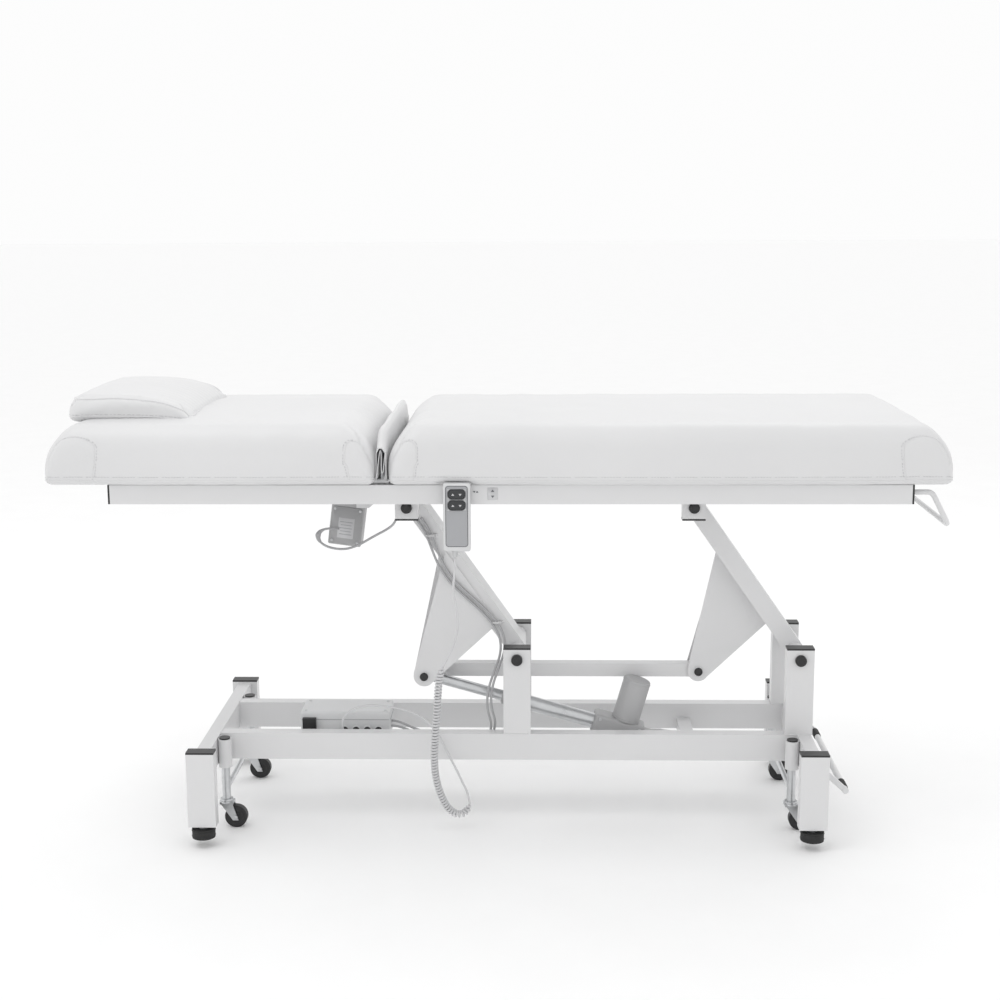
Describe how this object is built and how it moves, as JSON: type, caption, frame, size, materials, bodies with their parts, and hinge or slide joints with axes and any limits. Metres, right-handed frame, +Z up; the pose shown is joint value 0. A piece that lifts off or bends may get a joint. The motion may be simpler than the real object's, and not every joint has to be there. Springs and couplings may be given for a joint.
{
  "type": "facial treatment bed",
  "caption": "Electric facial treatment bed: padded seat and reclining backrest on a parallel-arm lift with castors, foot pedal and hand control.",
  "frame": {"origin": "on the floor under the middle of the bed's bounding box, standing on its castors", "axes": "+X to the foot end, +Y to the far side, +Z up"},
  "size_m": [1.875, 0.6125, 0.9745],
  "materials": {
    "black_plastic": "matte",
    "black_rubber": "matte",
    "dark_key": "satin",
    "grey_cord": "satin",
    "grey_plastic": "satin",
    "light_plastic": "satin",
    "plywood": "raw plywood",
    "wheel_rubber": "matte",
    "white_cord": "satin",
    "white_paint": "satin powder coat",
    "white_vinyl": "soft satin vinyl",
    "zinc_steel": "bright zinc"
  },
  "bodies": {
    "base": {"base_rail_front": "white_paint", "base_rail_rear": "white_paint", "cross_beam_left": "white_paint", "cross_beam_right": "white_paint", "legs_left": "white_paint", "legs_right": "white_paint", "uprights_left": "white_paint", "uprights_right": "white_paint", "base_tube_caps": "black_plastic", "lower_pivot_bolts": "black_plastic", "levelling_feet": "black_rubber", "castor_sockets": "white_paint", "base_brackets": "white_paint", "actuator_anchor": "white_paint", "control_box": "light_plastic", "control_sockets": "black_plastic", "handset_lead_upper": "white_cord", "handset_cord_curl": "white_cord", "handset_lead_lower": "white_cord"},
    "left_arm": {"lift_arm_left": "white_paint", "gusset_left": "white_paint", "motor_cables": "grey_cord"},
    "right_arm": {"lift_arm_right": "white_paint", "gusset_right": "white_paint"},
    "tie_rod": {"tie_rod": "white_paint"},
    "lift_motor": {"lift_actuator_gearbox": "grey_plastic", "lift_actuator_motor": "grey_plastic", "lift_actuator_tube": "zinc_steel"},
    "lift_rod": {"lift_actuator_rod": "zinc_steel"},
    "upper_frame": {"upper_rail_front": "white_paint", "upper_rail_rear": "white_paint", "upper_cross_tubes": "white_paint", "upper_tube_caps": "black_plastic", "arm_brackets": "white_paint", "upper_pivot_bolts": "black_plastic", "paper_roll_bar": "white_paint", "handset_case": "light_plastic", "seat_board": "plywood", "seat_cushion": "white_vinyl", "hinge_leaves_seat": "zinc_steel", "backrest_motor_cable": "grey_cord"},
    "upper_key": {"handset_key_upper": "dark_key"},
    "lower_key": {"handset_key_lower": "dark_key"},
    "backrest": {"backrest_board": "plywood", "backrest_cushion": "white_vinyl", "head_pillow": "white_vinyl", "backrest_fittings": "zinc_steel"},
    "backrest_motor": {"backrest_motor_box": "grey_plastic"},
    "backrest_rod": {"backrest_actuator_rod": "zinc_steel"},
    "castor_lift_left": {"castor_lift_left": "zinc_steel"},
    "castor_lift_right": {"castor_lift_right": "zinc_steel"},
    "pedal": {"castor_pedal": "white_paint"},
    "castor_fork_left_front": {"castor_fork_left_front": "zinc_steel"},
    "castor_wheel_left_front": {"castor_wheel_left_front": "wheel_rubber"},
    "castor_fork_left_rear": {"castor_fork_left_rear": "zinc_steel"},
    "castor_wheel_left_rear": {"castor_wheel_left_rear": "wheel_rubber"},
    "castor_fork_right_front": {"castor_fork_right_front": "zinc_steel"},
    "castor_wheel_right_front": {"castor_wheel_right_front": "wheel_rubber"},
    "castor_fork_right_rear": {"castor_fork_right_rear": "zinc_steel"},
    "castor_wheel_right_rear": {"castor_wheel_right_rear": "wheel_rubber"}
  },
  "joints": [
    {"name": "lift", "type": "hinge", "parent": "base", "child": "left_arm", "pos_m": [0.0382, 0, 0.3775], "axis": [0, -1, 0], "range_deg": [0, 40], "deforming": ["handset_lead_upper", "handset_cord_curl", "handset_lead_lower", "motor_cables"]},
    {"name": "right_arm_pivot", "type": "hinge", "parent": "base", "child": "right_arm", "pos_m": [0.6604, 0, 0.3775], "axis": [0, -1, 0], "range_deg": [-1, 41]},
    {"name": "tie_rod_pivot", "type": "hinge", "parent": "left_arm", "child": "tie_rod", "pos_m": [-0.1728, 0, 0.3149], "axis": [0, -1, 0], "range_deg": [-41, 1]},
    {"name": "upper_frame_level", "type": "hinge", "parent": "left_arm", "child": "upper_frame", "pos_m": [-0.2002, 0, 0.7175], "axis": [0, -1, 0], "range_deg": [-41, 1]},
    {"name": "lift_motor_pivot", "type": "hinge", "parent": "base", "child": "lift_motor", "pos_m": [0.35, -0.027, 0.1665], "axis": [0, -1, 0], "range_deg": [-1, 13.22]},
    {"name": "lift_rod_slide", "type": "slide", "parent": "lift_motor", "child": "lift_rod", "axis": [-0.962, 0, 0.2731], "range_m": [-0.1104, 0.001]},
    {"name": "recline", "type": "hinge", "parent": "upper_frame", "child": "backrest", "pos_m": [-0.236, 0, 0.903], "axis": [0, 1, 0], "range_deg": [0, 70]},
    {"name": "backrest_motor_pivot", "type": "hinge", "parent": "upper_frame", "child": "backrest_motor", "pos_m": [-0.305, 0, 0.715], "axis": [0, 1, 0], "range_deg": [-1, 62.55]},
    {"name": "backrest_rod_slide", "type": "slide", "parent": "backrest_motor", "child": "backrest_rod", "axis": [-0.9912, 0, 0.1322], "range_m": [-0.001, 0.2198]},
    {"name": "upper_key_rock", "type": "hinge", "parent": "upper_frame", "child": "upper_key", "pos_m": [-0.081, -0.305, 0.781], "axis": [0, 0, 1], "range_deg": [-3, 3], "stiffness_Nm_per_rad": 0.05},
    {"name": "lower_key_rock", "type": "hinge", "parent": "upper_frame", "child": "lower_key", "pos_m": [-0.081, -0.305, 0.758], "axis": [0, 0, 1], "range_deg": [-3, 3], "stiffness_Nm_per_rad": 0.05},
    {"name": "castor_pedal", "type": "hinge", "parent": "base", "child": "pedal", "pos_m": [0.706, 0, 0.15], "axis": [0, -1, 0], "range_deg": [0, 30]},
    {"name": "castor_slide_left", "type": "slide", "parent": "base", "child": "castor_lift_left", "axis": [0, 0, 1], "range_m": [-0.0005, 0.046]},
    {"name": "castor_slide_right", "type": "slide", "parent": "base", "child": "castor_lift_right", "axis": [0, 0, 1], "range_m": [-0.0005, 0.046]},
    {"name": "castor_swivel_left_front", "type": "hinge", "parent": "castor_lift_left", "child": "castor_fork_left_front", "pos_m": [-0.6085, -0.155, 0.06], "axis": [0, 0, 1], "continuous": true},
    {"name": "castor_roll_left_front", "type": "hinge", "parent": "castor_fork_left_front", "child": "castor_wheel_left_front", "pos_m": [-0.588, -0.155, 0.025], "axis": [0, 1, 0], "continuous": true},
    {"name": "castor_swivel_left_rear", "type": "hinge", "parent": "castor_lift_left", "child": "castor_fork_left_rear", "pos_m": [-0.6085, 0.155, 0.06], "axis": [0, 0, 1], "continuous": true},
    {"name": "castor_roll_left_rear", "type": "hinge", "parent": "castor_fork_left_rear", "child": "castor_wheel_left_rear", "pos_m": [-0.588, 0.155, 0.025], "axis": [0, 1, 0], "continuous": true},
    {"name": "castor_swivel_right_front", "type": "hinge", "parent": "castor_lift_right", "child": "castor_fork_right_front", "pos_m": [0.6425, -0.155, 0.06], "axis": [0, 0, 1], "continuous": true},
    {"name": "castor_roll_right_front", "type": "hinge", "parent": "castor_fork_right_front", "child": "castor_wheel_right_front", "pos_m": [0.663, -0.155, 0.025], "axis": [0, 1, 0], "continuous": true},
    {"name": "castor_swivel_right_rear", "type": "hinge", "parent": "castor_lift_right", "child": "castor_fork_right_rear", "pos_m": [0.6425, 0.155, 0.06], "axis": [0, 0, 1], "continuous": true},
    {"name": "castor_roll_right_rear", "type": "hinge", "parent": "castor_fork_right_rear", "child": "castor_wheel_right_rear", "pos_m": [0.663, 0.155, 0.025], "axis": [0, 1, 0], "continuous": true}
  ],
  "couplings": [
    {"joint": "right_arm_pivot", "follows": "lift", "ratio": 1},
    {"joint": "tie_rod_pivot", "follows": "lift", "ratio": -1},
    {"joint": "upper_frame_level", "follows": "lift", "ratio": -1},
    {"joint": "lift_motor_pivot", "follows": "lift", "ratio": 0.30564},
    {"joint": "lift_rod_slide", "follows": "lift", "m_per_rad": -0.15669},
    {"joint": "backrest_motor_pivot", "follows": "recline", "ratio": 0.87936},
    {"joint": "backrest_rod_slide", "follows": "recline", "m_per_rad": 0.1791},
    {"joint": "castor_slide_left", "follows": "castor_pedal", "m_per_rad": 0.085944},
    {"joint": "castor_slide_right", "follows": "castor_pedal", "m_per_rad": 0.085944}
  ]
}
